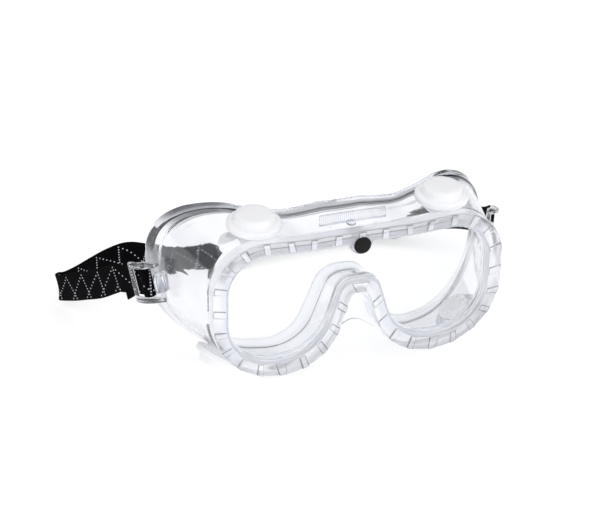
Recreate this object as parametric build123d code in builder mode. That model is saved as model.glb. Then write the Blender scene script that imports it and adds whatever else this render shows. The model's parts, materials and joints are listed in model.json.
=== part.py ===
"""Indirect-vent splash goggles: soft clear body, one-piece lens, four vents, two strap clips and a strap.

Millimetres. +Z is up, -Y is the way the wearer looks and +X is to the right of someone facing the lens.
The origin is the middle of the lens's front face. Heights in the sketches are measured from the rim's
lowest edge, and depths are Y values.
"""

import os
from math import cos, radians, sin

from build123d import *

os.makedirs("parts", exist_ok=True)

# driving dimensions
RIM_BASE = -54.0  # Z of the rim's lowest edge
RIM_FRONT = -3.0  # the lip stands in front of the lens
RIM_BACK = 5.0
LENS_THICK = 1.6
LENS_GRIP = 3.2  # how far the lens goes into the rim's groove
WALL = 2.2
SHELL_FRONT = 2.0
SHELL_REAR = 59.0  # the plane the shell runs out to before the face is cut from it
BROW = 110.0  # radius of the gentle turn in the brow, seen from the front
FACE_RADIUS = 139.0  # curve of the wearer's face seen from above
FACE_DEPTH = 25.0  # the brow's edge behind the lens
FLANGE_THICK = 2.2
FLANGE_OUT = 1.2
FLANGE_IN = 4.0

VENT_TOP = (48.5, 14.5, 73.7)  # half spacing, depth and height of an upper vent's centre on the wall
VENT_TOP_NORMAL = (0.0, -0.08, 1.0)
VENT_BOTTOM = (62.7, 18.1, 6.2)
VENT_BOTTOM_NORMAL = (0.545, -0.16, -0.823)
HOLE_DEPTH = 9.0  # how deep a vent's hole is cut into the wall
CAP_RADIUS = 13.2
CAP_BRIM = 1.6
CAP_SKIRT = 1.5  # how far the cap's edge turns down
SKIRT_WALL = 1.4
DOME_RADIUS = 10.0
DOME_RISE = 4.0
DOME_TAPER = 12.0  # degrees
SEAT_RADIUS = 10.0
SEAT_BRIM = 1.2
COLLAR_RADIUS = 8.0
COLLAR_WALL = 1.2
COLLAR_DEPTH = 5.5
CAP_GAP = 1.1  # the air gap under the cap's brim
STEM_RADIUS = 2.0
HUB_RADIUS = 3.4
SPOKE_WIDTH = 1.8
SPOKES = 4
BAFFLE_THICK = 1.0
BAFFLE_NOTCH = 1.5
BAFFLE_NOTCHES = 6

STUD_HEIGHT = 65.1
STUD_RADIUS = 4.3
STUD_PROUD = 2.0
SHANK_RADIUS = 1.7
WASHER_RADIUS = 3.6
WASHER_THICK = 1.4
TAB_RADIUS = 5.6  # the rim's tab behind and in front of the lens that the stud goes through

CLIP_PIVOT = (87.6, 39.0, 38.5)  # half spacing, depth and height of the clip's hinge
CLIP_AXIS = (0.15, 0.22, 0.964)  # the hinge leans out and back at its top
CLIP_SWING = 30.0  # degrees that the clip points outwards at rest
CLIP_LENGTH = 17.0
CLIP_WIDTH = 20.0
CLIP_MIDDLE = 8.6
CLIP_CHEEK = 1.9  # thickness of the two side bars
BAR_RADIUS = 1.3
REAR_BAR_OUT = 1.3  # the rear bar stands out so that the strap passes under it
BRIDGE_RISE = 3.4
EAR_RADIUS = 3.0
EAR_WIDTH = 9.0
EAR_PLAY = 0.05

STRAP_WIDTH = 15.0
STRAP_THICK = 1.2
STRAP_JOIN = 31.0  # distance behind the hinge where the loose strap starts
STRAP_PLAY = 0.6
LOFT_SPANS = 7  # spans of the route in one loft
STRAP_INSET = 0.9  # the strap passes this far inside the clip's plane
TAIL_END = 28.5
TAIL_INSET = 2.4
TABLE = -6.0  # height of the surface that the goggles rest on, from the rim's lowest edge
SADDLE_DEPTH = 7.5  # back of the web over the nose
SADDLE_THICK = 1.8
SADDLE_GRIP = 1.6  # how far the web goes into the wall
HOLE_RIM = 3.0  # a vent's hole starts this far outside the wall
EAR_WEB = 4.6
RIB_WIDTH = 2.6
RIB_RISE = 0.5
RIB_STEP = 20  # degrees between the ribs round a lobe
LOBE_CENTRE = (41.0, 35.6)


def front_plane(depth):
    """The plane at a depth, facing the viewer, with local y as the height above the rim's base."""
    return Plane(origin=(0, depth, RIM_BASE), x_dir=(1, 0, 0), z_dir=(0, -1, 0))


class Outline:
    """Two round lobes under a straight brow, with a notch for the nose.

    corners are those of the right half, from the brow's middle round to the nose's middle, and radii round
    the brow's two turns, the temple, the lobe's outer and inner bottom, and the nose arch. The brow's second
    turn and the nose arch are hollow corners.
    """

    def __init__(self, corners, radii):
        self.corners = [Vector(*corner) for corner in corners]
        self.radii = radii

    def grown(self, amount):
        """The same outline moved outwards all round, or inwards by a negative amount."""
        runs = [(b - a).normalized() for a, b in zip(self.corners, self.corners[1:])]
        normals = [Vector(-run.Y, run.X) for run in runs]
        moved = [self.corners[0] + Vector(0, amount / normals[0].Y)]
        for corner, before, after in zip(self.corners[1:], normals, normals[1:]):
            moved.append(corner + (before + after) * (amount / (1 + before.dot(after))))
        moved.append(self.corners[-1] + Vector(0, amount / normals[-1].Y))
        radii = [
            radius + (amount if before.cross(after).Z < 0 else -amount)
            for radius, before, after in zip(self.radii, runs, runs[1:])
        ]
        return Outline([(point.X, point.Y) for point in moved], radii)

    def face(self):
        with BuildSketch() as sketch:
            with BuildLine():
                FilletPolyline(*self.corners, radius=self.radii)
                mirror(about=Plane.YZ)
            make_face()
        return sketch.sketch


rim_outline = Outline(
    [(0, 71.8), (10, 71.8), (26, 71.5), (74.8, 75.2), (74.8, 0.6), (16, 0.6), (4.2, 39.5), (0, 39.5)],
    [BROW, BROW, 25, 35, 30.5, 5],
)
lens_opening = Outline(
    [(0, 65.1), (10, 65.1), (26, 64.9), (66.5, 66.9), (66.5, 9.4), (21, 9.4), (9.4, 46.6), (0, 46.6)],
    [BROW, BROW, 18.5, 23.6, 25, 8],
)
shell_front = rim_outline.grown(-0.8)
shell_rear = Outline(
    [(0, 83), (14, 83), (38, 74.1), (89, 87.5), (89, -2.4), (30, -2.4), (12, 36), (0, 36)],
    [30, 24, 33, 38, 20, 12],
)


def shell_between(growth):
    """The solid inside the body's outer surface, or inside one moved outwards from it by growth."""
    with BuildPart() as solid:
        with BuildSketch(front_plane(SHELL_FRONT)):
            add(shell_front.grown(growth).face())
        with BuildSketch(front_plane(SHELL_REAR)):
            add(shell_rear.grown(growth).face())
        loft(ruled=True)
    return solid.part


def face_form(radius):
    """The upright cylinder that stands for the wearer's face."""
    with BuildPart() as form:
        with BuildSketch(Plane.XY.offset(-120)):
            with Locations((0, FACE_DEPTH + FACE_RADIUS)):
                Circle(radius)
        extrude(amount=240)
    return form.part


def vent_plane(side, upper):
    """A vent's plane on the wall, with its normal out of the goggles."""
    half, depth, height = VENT_TOP if upper else VENT_BOTTOM
    out, forward, up = VENT_TOP_NORMAL if upper else VENT_BOTTOM_NORMAL
    normal = Vector(side * out, forward, up)
    return Plane(origin=(side * half, depth, height + RIM_BASE), x_dir=normal.cross(Vector(1, 0, 0)), z_dir=normal)


VENTS = {
    "top_left": vent_plane(-1, True),
    "top_right": vent_plane(1, True),
    "bottom_left": vent_plane(-1, False),
    "bottom_right": vent_plane(1, False),
}


def clip_plane(side):
    """The plane across a clip's hinge: local z up the hinge, and local x back along the clip."""
    half, depth, height = CLIP_PIVOT
    axis = Vector(side * CLIP_AXIS[0], CLIP_AXIS[1], CLIP_AXIS[2]).normalized()
    swing = radians(CLIP_SWING)
    along = Vector(side * sin(swing), cos(swing), 0)
    along = along - axis * along.dot(axis)
    return Plane(origin=(side * half, depth, height + RIM_BASE), x_dir=along, z_dir=axis)


def write(node, name):
    node.part.label = name
    export_step(node.part, f"parts/{name}.step")


# the flange that lies on the face, cut from a layer round the face form
with BuildPart() as flange:
    add(shell_between(FLANGE_OUT))
    add(shell_between(-FLANGE_IN), mode=Mode.SUBTRACT)
    add(face_form(FACE_RADIUS + FLANGE_THICK), mode=Mode.INTERSECT)

with BuildPart() as goggle_body:
    add(shell_between(0))
    add(shell_between(-WALL), mode=Mode.SUBTRACT)
    add(flange.part)
    add(face_form(FACE_RADIUS), mode=Mode.SUBTRACT)
    # the rim round the lens, with a tab for the stud
    with BuildSketch(front_plane(RIM_BACK)) as rim:
        add(rim_outline.face())
        add(lens_opening.face(), mode=Mode.SUBTRACT)
        with Locations((0, STUD_HEIGHT)):
            Circle(TAB_RADIUS)
    extrude(amount=RIM_BACK - RIM_FRONT)
    # raised ribs round each lobe, where the rim is round
    with BuildSketch(front_plane(RIM_FRONT)):
        for side in (-1, 1):
            for turn in range(-200, 1, RIB_STEP):
                angle = turn if side > 0 else 180 - turn
                with Locations(Location((side * LOBE_CENTRE[0], LOBE_CENTRE[1], 0), (0, 0, angle))):
                    with Locations((40, 0)):
                        Rectangle(80, RIB_WIDTH)
        add(rim_outline.grown(-1).face(), mode=Mode.INTERSECT)
        add(lens_opening.grown(1).face(), mode=Mode.SUBTRACT)
    extrude(amount=RIB_RISE)
    # the groove the lens snaps into, and the stud's hole
    with BuildSketch(front_plane(LENS_THICK)):
        add(lens_opening.grown(LENS_GRIP).face())
    extrude(amount=LENS_THICK, mode=Mode.SUBTRACT)
    with BuildSketch(front_plane(RIM_BACK)):
        with Locations((0, STUD_HEIGHT)):
            Circle(SHANK_RADIUS)
    extrude(amount=RIM_BACK - RIM_FRONT, mode=Mode.SUBTRACT)
    # the saddle that closes the notch over the nose
    with BuildSketch(front_plane(SADDLE_DEPTH)):
        with BuildLine():
            bridge = Spline((-20.5, 4.2), (-10, 14.9), (0, 20.1), (10, 14.9), (20.5, 4.2))
            Polyline(bridge @ 1, (28, 4.2), (28, 10), (6, 42), (-6, 42), (-28, 10), (-28, 4.2), bridge @ 0)
        make_face()
        add(shell_front.grown(-SADDLE_GRIP).face(), mode=Mode.SUBTRACT)
    extrude(amount=SADDLE_THICK)
    # holes for the vents, and the ears that hold the clips
    for plane in VENTS.values():
        with BuildSketch(plane.offset(HOLE_RIM)):
            Circle(COLLAR_RADIUS)
        extrude(amount=-HOLE_DEPTH, mode=Mode.SUBTRACT)
    for side in (-1, 1):
        inwards = -side * clip_plane(side).y_dir.X
        with BuildSketch(clip_plane(side).offset(-EAR_WIDTH / 2)):
            Circle(EAR_RADIUS)
            with Locations((0, EAR_WEB / 2 * (1 if inwards > 0 else -1))):
                Rectangle(EAR_RADIUS * 1.6, EAR_WEB)
        extrude(amount=EAR_WIDTH)
        with BuildSketch(clip_plane(side).offset(-EAR_WIDTH / 2)):
            Circle(BAR_RADIUS + EAR_PLAY)
        extrude(amount=EAR_WIDTH, mode=Mode.SUBTRACT)
write(goggle_body, "goggle_body")

with BuildPart() as lens:
    with BuildSketch(front_plane(LENS_THICK)):
        add(lens_opening.grown(LENS_GRIP).face())
        with Locations((0, STUD_HEIGHT)):
            Circle(SHANK_RADIUS, mode=Mode.SUBTRACT)
    extrude(amount=LENS_THICK)
write(lens, "lens")

# the stud that pins the rim and the lens together at the brow
with BuildPart() as brow_stud:
    with BuildSketch(front_plane(RIM_BACK + WASHER_THICK)):
        with Locations((0, STUD_HEIGHT)):
            Circle(SHANK_RADIUS)
    extrude(amount=RIM_BACK + WASHER_THICK - RIM_FRONT)
    with BuildSketch(front_plane(RIM_FRONT)):
        with Locations((0, STUD_HEIGHT)):
            Circle(STUD_RADIUS)
    extrude(amount=STUD_PROUD)
    fillet(brow_stud.edges().group_by(Axis.Y)[0], radius=STUD_PROUD * 0.6)
write(brow_stud, "brow_stud")

with BuildPart() as stud_washer:
    with BuildSketch(front_plane(RIM_BACK + WASHER_THICK)):
        with Locations((0, STUD_HEIGHT)):
            Circle(WASHER_RADIUS)
            Circle(SHANK_RADIUS, mode=Mode.SUBTRACT)
    extrude(amount=WASHER_THICK)
write(stud_washer, "stud_washer")

for name, plane in VENTS.items():
    with BuildPart() as vent_seat:
        with BuildSketch(plane):
            Circle(SEAT_RADIUS)
            Circle(COLLAR_RADIUS - COLLAR_WALL, mode=Mode.SUBTRACT)
        extrude(amount=SEAT_BRIM)
        with BuildSketch(plane):
            Circle(COLLAR_RADIUS)
            Circle(COLLAR_RADIUS - COLLAR_WALL, mode=Mode.SUBTRACT)
        extrude(amount=-COLLAR_DEPTH)
        with BuildSketch(plane):
            Circle(HUB_RADIUS)
            with PolarLocations((COLLAR_RADIUS - COLLAR_WALL) / 2, SPOKES):
                Rectangle(COLLAR_RADIUS - COLLAR_WALL + 0.4, SPOKE_WIDTH)
            Circle(STEM_RADIUS, mode=Mode.SUBTRACT)
        extrude(amount=SEAT_BRIM)
    write(vent_seat, f"vent_seat_{name}")

    with BuildPart() as vent_baffle:
        with BuildSketch(plane.offset(-COLLAR_DEPTH)):
            Circle(COLLAR_RADIUS - COLLAR_WALL)
            with PolarLocations(COLLAR_RADIUS - COLLAR_WALL, BAFFLE_NOTCHES):
                Circle(BAFFLE_NOTCH, mode=Mode.SUBTRACT)
        extrude(amount=BAFFLE_THICK)
    write(vent_baffle, f"vent_baffle_{name}")

    under = SEAT_BRIM + CAP_GAP
    with BuildPart() as vent_cap:
        with BuildSketch(plane.offset(under)):
            Circle(CAP_RADIUS)
        extrude(amount=CAP_BRIM)
        with BuildSketch(plane.offset(under + CAP_BRIM)):
            Circle(DOME_RADIUS)
        extrude(amount=DOME_RISE, taper=DOME_TAPER)
        with BuildSketch(plane.offset(under)):
            Circle(CAP_RADIUS)
            Circle(CAP_RADIUS - SKIRT_WALL, mode=Mode.SUBTRACT)
        extrude(amount=-CAP_SKIRT)
        with BuildSketch(plane):
            Circle(STEM_RADIUS)
        extrude(amount=under)
    write(vent_cap, f"vent_cap_{name}")


def clip(side):
    """A three-bar slide: the front bar turns in the ear, and the strap doubles back round the middle bar."""
    plane = clip_plane(side)
    out = side * (1 if plane.y_dir.X > 0 else -1)
    cheek = CLIP_WIDTH / 2 - CLIP_CHEEK
    with BuildPart() as strap_clip:
        # the three bars
        with BuildSketch(plane.offset(-CLIP_WIDTH / 2)):
            Circle(BAR_RADIUS)
            with Locations((CLIP_MIDDLE, 0)):
                Circle(BAR_RADIUS)
            with Locations((CLIP_LENGTH, out * REAR_BAR_OUT)):
                Circle(BAR_RADIUS)
        extrude(amount=CLIP_WIDTH)
        # a side bar at each end, humped over the strap's turn
        for level in (-CLIP_WIDTH / 2, cheek):
            with BuildSketch(plane.offset(level)):
                with BuildLine():
                    ThreePointArc(
                        (0, out * BAR_RADIUS),
                        (CLIP_LENGTH * 0.55, out * (BAR_RADIUS + BRIDGE_RISE)),
                        (CLIP_LENGTH + BAR_RADIUS, out * (REAR_BAR_OUT + 0.6)),
                    )
                    Line((CLIP_LENGTH + BAR_RADIUS, out * (REAR_BAR_OUT + 0.6)), (CLIP_LENGTH, out * -0.2))
                    Line((CLIP_LENGTH, out * -0.2), (CLIP_MIDDLE, -out * BAR_RADIUS))
                    Line((CLIP_MIDDLE, -out * BAR_RADIUS), (0, -out * BAR_RADIUS))
                    Line((0, -out * BAR_RADIUS), (0, out * BAR_RADIUS))
                make_face()
            extrude(amount=CLIP_CHEEK)
    return strap_clip


def strap_end(side):
    """The strap's end: in under the rear bar, round the middle bar and back as a tail."""
    plane = clip_plane(side)
    out = side * (1 if plane.y_dir.X > 0 else -1)
    turn = BAR_RADIUS + 0.1 + STRAP_THICK / 2
    with BuildPart() as end:
        with BuildSketch(plane.offset(-STRAP_WIDTH / 2)):
            with BuildLine():
                Polyline(
                    (STRAP_JOIN, -out * STRAP_INSET),
                    (CLIP_MIDDLE + 5.4, -out * STRAP_INSET),
                    (CLIP_MIDDLE + 1.6, out * turn),
                    (CLIP_MIDDLE, out * turn),
                )
                ThreePointArc(
                    (CLIP_MIDDLE, out * turn), (CLIP_MIDDLE - turn, 0), (CLIP_MIDDLE, -out * turn)
                )
                Polyline((CLIP_MIDDLE, -out * turn), (CLIP_MIDDLE + 3.4, -out * TAIL_INSET),
                         (TAIL_END, -out * TAIL_INSET))
            trace(line_width=STRAP_THICK)
        extrude(amount=STRAP_WIDTH)
    return end


for side, name in ((-1, "left"), (1, "right")):
    write(clip(side), f"strap_clip_{name}")
    write(strap_end(side), f"strap_end_{name}")


# the loose strap, from clip to clip: x, y, height of its lower edge above the table, and twist from upright
ROUTE = [
    (-107.5, 79.0, 19.5, 0),
    (-113.0, 92.0, 12.5, 5),
    (-117.3, 103.0, 6.7, 10),
    (-119.7, 109.5, 3.9, 10),
    (-119.8, 113.2, 2.7, 6),
    (-116.8, 115.4, 2.1, 0),
    (-110.0, 118.5, 2.3, 0),
    (-100.0, 124.5, 2.9, 0),
    (-89.0, 128.6, 4.7, 0),
    (-78.0, 129.0, 6.5, 0),
    (-67.0, 124.5, 5.5, 0),
    (-56.0, 119.5, 3.8, 0),
    (-44.0, 117.8, 3.4, 0),
    (-35.5, 119.5, 2.6, 22),
    (-29.5, 121.5, 1.7, 47),
    (-24.0, 123.6, 0.8, 72),
    (-15.0, 127.0, 0, 100),
    (-4.0, 129.3, 0, 116),
    (22.0, 130.8, 0, 118),
    (44.0, 130.8, 0, 117),
    (60.0, 129.0, 0.8, 110),
    (72.0, 125.2, 3.2, 94),
    (82.0, 119.2, 7.4, 68),
    (90.5, 111.0, 11.8, 42),
    (97.0, 101.2, 15.6, 20),
    (102.0, 91.0, 18.4, 6),
    (105.0, 79.0, 21.0, 0),
]


def strap_sections():
    ends = [clip_plane(side).from_local_coords(
        Vector(STRAP_JOIN + STRAP_PLAY, -STRAP_INSET * side * (1 if clip_plane(side).y_dir.X > 0 else -1), 0)
    ) for side in (-1, 1)]
    centres = [ends[0]]
    for x, y, rise, twist in ROUTE:
        half = STRAP_WIDTH / 2 * abs(cos(radians(twist))) + STRAP_THICK / 2 * sin(radians(twist))
        centres.append(Vector(x, y, RIM_BASE + TABLE + rise + half))
    centres.append(ends[1])
    twists = [0] + [stop[3] for stop in ROUTE] + [0]
    last = len(centres) - 1
    planes = []
    for index, centre in enumerate(centres):
        along = (centres[min(index + 1, last)] - centres[max(index - 1, 0)]).normalized()
        up = Vector(0, 0, 1)
        if index in (0, last):
            hinge = clip_plane(-1 if index == 0 else 1)
            along = hinge.x_dir * (1 if index == 0 else -1)
            up = hinge.z_dir
        up = (up - along * up.dot(along)).normalized()
        up = up.rotate(Axis((0, 0, 0), along), -twists[index])
        planes.append(Plane(origin=centre, x_dir=up, z_dir=along))
    return planes


planes = strap_sections()
with BuildPart() as strap_band:
    # joined from short lofts, end to end
    for first in range(0, len(planes) - 1, LOFT_SPANS):
        for plane in planes[first : first + LOFT_SPANS + 1]:
            with BuildSketch(plane):
                Rectangle(STRAP_WIDTH, STRAP_THICK)
        loft(ruled=True)
write(strap_band, "strap_band")
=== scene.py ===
"""Looks of the splash goggles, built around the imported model.

Lengths below are in millimetres and become metres when a mesh is made. +Z is up, -Y is the way the wearer
looks, and the origin is the middle of the lens's front face. Heights are measured from the rim's lowest edge.
"""

import json
from functools import partial, reduce
from math import ceil, cos, pi, radians, sin, tan

import bmesh
import bpy
import numpy as np
from mathutils import Matrix, Vector

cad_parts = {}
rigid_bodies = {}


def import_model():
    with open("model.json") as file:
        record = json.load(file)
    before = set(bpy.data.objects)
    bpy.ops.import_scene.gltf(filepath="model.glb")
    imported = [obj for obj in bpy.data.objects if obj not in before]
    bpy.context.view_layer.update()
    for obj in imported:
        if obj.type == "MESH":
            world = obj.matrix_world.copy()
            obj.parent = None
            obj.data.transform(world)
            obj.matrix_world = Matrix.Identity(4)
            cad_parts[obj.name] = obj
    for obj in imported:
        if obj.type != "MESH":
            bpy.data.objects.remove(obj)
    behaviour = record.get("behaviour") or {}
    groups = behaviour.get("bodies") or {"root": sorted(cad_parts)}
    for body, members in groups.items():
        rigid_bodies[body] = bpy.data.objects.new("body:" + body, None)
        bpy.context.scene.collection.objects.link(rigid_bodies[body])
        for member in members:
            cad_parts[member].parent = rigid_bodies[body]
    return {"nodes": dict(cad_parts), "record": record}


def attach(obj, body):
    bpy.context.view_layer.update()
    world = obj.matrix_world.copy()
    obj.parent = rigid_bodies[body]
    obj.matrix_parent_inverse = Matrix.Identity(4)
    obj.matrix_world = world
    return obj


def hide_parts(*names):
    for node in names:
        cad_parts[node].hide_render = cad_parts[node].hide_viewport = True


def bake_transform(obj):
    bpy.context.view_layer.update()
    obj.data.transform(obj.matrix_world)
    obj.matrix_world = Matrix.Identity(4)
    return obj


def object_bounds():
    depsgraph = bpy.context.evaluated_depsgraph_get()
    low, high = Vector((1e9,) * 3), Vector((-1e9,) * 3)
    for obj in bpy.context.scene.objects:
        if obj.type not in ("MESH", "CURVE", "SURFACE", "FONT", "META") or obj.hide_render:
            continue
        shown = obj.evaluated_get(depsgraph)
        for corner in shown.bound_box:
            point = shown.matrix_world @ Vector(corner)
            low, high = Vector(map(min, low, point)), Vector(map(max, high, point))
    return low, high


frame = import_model()
cad_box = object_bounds()
scene = bpy.context.scene

MM = 0.001

# the rim and the shell
RIM_BASE = -54.0
RIM_FRONT = -3.0
RIM_BACK = 5.0
LENS_THICK = 1.6
LENS_GRIP = 3.2
LENS_PLAY = 0.05
SHELL_FRONT = 2.0
SHELL_REAR = 59.0
BROW = 110.0
WALL = 2.2
FACE_RADIUS = 139.0
FACE_CENTRE = 164.0
FLANGE_THICK = 2.2
FLANGE_OUT = 1.2
FLANGE_IN = 4.0
LEAN = 3.6  # the soft brow sags this far to one side at the back
LEAN_FROM = 48.0  # the height where the lean starts
LEAN_SPAN = 26.0
SWELL = 2.3  # the temples stand this much higher at the back
SWELL_FROM = 34.0  # the half width where the swell starts
SWELL_SPAN = 22.0
SADDLE_DEPTH = 7.5
SADDLE_THICK = 1.8
STUD_HEIGHT = 65.1
STUD_RADIUS = 4.3
STUD_PROUD = 2.0
SHANK_RADIUS = 1.7
WASHER_RADIUS = 3.6
WASHER_THICK = 1.4
TAB_RADIUS = 5.6
RIB_WIDTH = 3.4
RIB_RISE = 0.6
RIB_SPACING = 12.0
RIB_FLANK = 0.3  # the width of the slope at each side of a rib
STATION = 0.5  # distance between the sections round the rim

# the vents: depths and heights along a vent's axis are from its seat on the wall
VENT_TOP = (48.5, 14.5, 73.7)
VENT_TOP_NORMAL = (0.0, -0.08, 1.0)
VENT_BOTTOM = (62.7, 18.1, 6.2)
VENT_BOTTOM_NORMAL = (0.545, -0.16, -0.823)
COLLAR_RADIUS = 8.0
COLLAR_WALL = 1.2
COLLAR_DEPTH = 5.5
SEAT_BRIM = 1.2
HUB_RADIUS = 3.4
STEM_RADIUS = 2.0
SPOKE_WIDTH = 1.8
BAFFLE_THICK = 1.0

# the strap clips and the strap
CLIP_PIVOT = (87.6, 39.0, 38.5)
CLIP_AXIS = (0.15, 0.22, 0.964)
CLIP_SWING = 30.0
CLIP_LENGTH = 17.0
CLIP_WIDTH = 20.0
CLIP_MIDDLE = 8.6
CLIP_CHEEK = 1.9
BAR_RADIUS = 1.3
BAR_SHORT = 0.6  # how far a bar's ends stay inside the clip's cheeks
REAR_BAR_OUT = 1.3
REAR_BAR_RADIUS = 1.25
BRIDGE_RISE = 3.4
EAR_RADIUS = 3.0
EAR_WIDTH = 9.0
EAR_WEB = 4.6
EAR_PLAY = 0.05
STRAP_WIDTH = 15.0
STRAP_THICK = 1.2
STRAP_JOIN = 31.0
STRAP_INSET = 0.9
TAIL_END = 28.5
TAIL_INSET = 2.4
TAIL_DROP = 4.6  # the tail hangs a little below the strap at its end
DROP_START = 18.0
TABLE = -6.0  # the table's height


def metres(point):
    """A point given by x, depth and height, in metres in the row frame."""
    x, depth, height = point
    return Vector((x * MM, depth * MM, (height + RIM_BASE) * MM))


# ------------------------------ mesh helpers


def loose(name, mesh):
    piece = bpy.data.objects.new(name, mesh)
    scene.collection.objects.link(piece)
    return piece


def finish_piece(piece, body, replaced=()):
    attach(piece, body)
    if replaced:
        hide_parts(*replaced)


def make_object(name, mesh, body, replaced=()):
    finish_piece(loose(name, mesh), body, replaced)


def mesh_from(name, points, faces):
    """A mesh from points in metres, with its faces turned outwards."""
    mesh = bpy.data.meshes.new(name)
    mesh.from_pydata([tuple(point) for point in points], [], faces)
    work = bmesh.new()
    work.from_mesh(mesh)
    bmesh.ops.recalc_face_normals(work, faces=work.faces)
    work.to_mesh(mesh)
    work.free()
    return mesh


def ring_faces(rings, count, closed=False):
    """Quads between rings of count points each, where closed joins the last ring to the first.

    Otherwise those two rings are filled with a face each.
    """
    faces = []
    for ring in range(rings if closed else rings - 1):
        here, there = ring * count, (ring + 1) % rings * count
        for step in range(count):
            after = (step + 1) % count
            faces.append((here + step, here + after, there + after, there + step))
    if not closed:
        faces += [tuple(range(count)), tuple(range((rings - 1) * count, rings * count))]
    return faces


def skin(name, rings, closed=False):
    """The surface through rings of points given by x, depth and height."""
    points = [metres(point) for ring in rings for point in ring]
    return mesh_from(name, points, ring_faces(len(rings), len(rings[0]), closed))


def combine(piece, tool, operation):
    """Joins tool to piece, or cuts it away, and deletes tool."""
    modifier = piece.modifiers.new("boolean", "BOOLEAN")
    modifier.object, modifier.operation, modifier.solver = tool, operation, "EXACT"
    bpy.context.view_layer.objects.active = piece
    with bpy.context.temp_override(object=piece, active_object=piece, selected_objects=[piece]):
        bpy.ops.object.modifier_apply(modifier=modifier.name)
    bpy.data.objects.remove(tool)


# ------------------------------ outlines


class Outline:
    """Two round lobes under a nearly straight brow, with a notch for the nose.

    corners are those of the right half, from the brow's middle round to the nose's middle, and radii round
    the brow's two turns, the temple, the lobe's outer and inner bottom, and the nose arch.
    """

    def __init__(self, corners, radii):
        self.corners = [Vector(corner) for corner in corners]
        self.radii = radii

    def grown(self, amount):
        """The same outline moved outwards all round, or inwards by a negative amount."""
        runs = [(b - a).normalized() for a, b in zip(self.corners, self.corners[1:])]
        normals = [Vector((-run.y, run.x)) for run in runs]
        moved = [self.corners[0] + Vector((0, amount / normals[0].y))]
        for corner, before, after in zip(self.corners[1:], normals, normals[1:]):
            moved.append(corner + (before + after) * (amount / (1 + before.dot(after))))
        moved.append(self.corners[-1] + Vector((0, amount / normals[-1].y)))
        radii = [
            radius + (amount if before.cross(after) < 0 else -amount)
            for radius, before, after in zip(self.radii, runs, runs[1:])
        ]
        return Outline(moved, radii)

    def pieces(self):
        """The half outline's runs and arcs in turn, each as a function of a share, and its length."""
        found = []
        start = self.corners[0]
        for index, radius in enumerate(self.radii, 1):
            before = (self.corners[index] - self.corners[index - 1]).normalized()
            after = (self.corners[index + 1] - self.corners[index]).normalized()
            turn = before.angle_signed(after)
            setback = radius * tan(abs(turn) / 2)
            enter = self.corners[index] - before * setback
            side = -1 if turn > 0 else 1
            centre = enter + Vector((-before.y, before.x)) * radius * side
            found.append((self._run(start, enter), (enter - start).length))
            found.append((self._arc(centre, enter - centre, turn), radius * abs(turn)))
            start = self.corners[index] + after * setback
        end = self.corners[-1]
        found.append((self._run(start, end), (end - start).length))
        return found

    @staticmethod
    def _run(start, end):
        return lambda share: start.lerp(end, share)

    @staticmethod
    def _arc(centre, spoke, turn):
        return lambda share: centre + Matrix.Rotation(-turn * share, 2) @ spoke

    def loop(self, steps):
        """The closed outline, with the given number of steps in each run and arc of its half."""
        half = []
        for (place, _), count in zip(self.pieces(), steps):
            half += [place(step / count) for step in range(count)]
        half.append(self.corners[-1])
        other = [Vector((-point.x, point.y)) for point in reversed(half[1:-1])]
        return np.array([tuple(point) for point in half + other])


rim_outline = Outline(
    [(0, 71.8), (10, 71.8), (26, 71.5), (74.8, 75.2), (74.8, 0.6), (16, 0.6), (4.2, 39.5), (0, 39.5)],
    [BROW, BROW, 25, 35, 30.5, 5],
)
lens_opening = Outline(
    [(0, 65.1), (10, 65.1), (26, 64.9), (66.5, 66.9), (66.5, 9.4), (21, 9.4), (9.4, 46.6), (0, 46.6)],
    [BROW, BROW, 18.5, 23.6, 25, 8],
)
shell_front = rim_outline.grown(-0.8)
shell_rear = Outline(
    [(0, 83), (14, 83), (38, 74.1), (89, 87.5), (89, -2.4), (30, -2.4), (12, 36), (0, 36)],
    [30, 24, 33, 38, 20, 12],
)
STEPS = [max(2, ceil(length / STATION)) for _, length in rim_outline.pieces()]


# ------------------------------ the body's sections


def at_depth(outline, depth):
    """The ring of an outline at one depth, or at a depth for each point: x, depth and height."""
    return np.insert(outline, 1, depth, axis=1)


def moved_towards(ring, target, distance):
    run = target - ring
    return ring + run * (distance / np.linalg.norm(run, axis=1))[:, None]


class Shell:
    """The surface between the rim and the face, as straight lines from the front outline to the rear one."""

    def __init__(self, growth):
        self.front = at_depth(shell_front.grown(growth).loop(STEPS), SHELL_FRONT)
        rear = at_depth(shell_rear.grown(growth).loop(STEPS), SHELL_REAR)
        high = np.clip((rear[:, 2] - LEAN_FROM) / LEAN_SPAN, 0, 1)
        rear[:, 0] -= LEAN * high
        rear[:, 2] += SWELL * high * np.clip((np.abs(rear[:, 0]) - SWELL_FROM) / SWELL_SPAN, 0, 1)
        self.run = rear - self.front

    def share_at_depth(self, depth):
        return (depth - self.front[:, 1]) / self.run[:, 1]

    def share_at_face(self, layer):
        """Where each line reaches the layer that lies this far in front of the face."""
        start = self.front[:, :2] - np.array([0, FACE_CENTRE])
        run = self.run[:, :2]
        a = (run * run).sum(1)
        b = 2 * (start * run).sum(1)
        c = (start * start).sum(1) - (FACE_RADIUS + layer) ** 2
        return (-b - np.sqrt(b * b - 4 * a * c)) / (2 * a)

    def at(self, share):
        return self.front + self.run * share[:, None]

    def at_face(self, layer):
        return self.at(self.share_at_face(layer))


def rib_profile(distances, spacing):
    """1 on a rib and 0 between ribs, for distances along the rim."""
    off = np.abs((distances + spacing / 2) % spacing - spacing / 2)
    return np.clip((RIB_WIDTH / 2 + RIB_FLANK / 2 - off) / RIB_FLANK, 0, 1)


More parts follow.
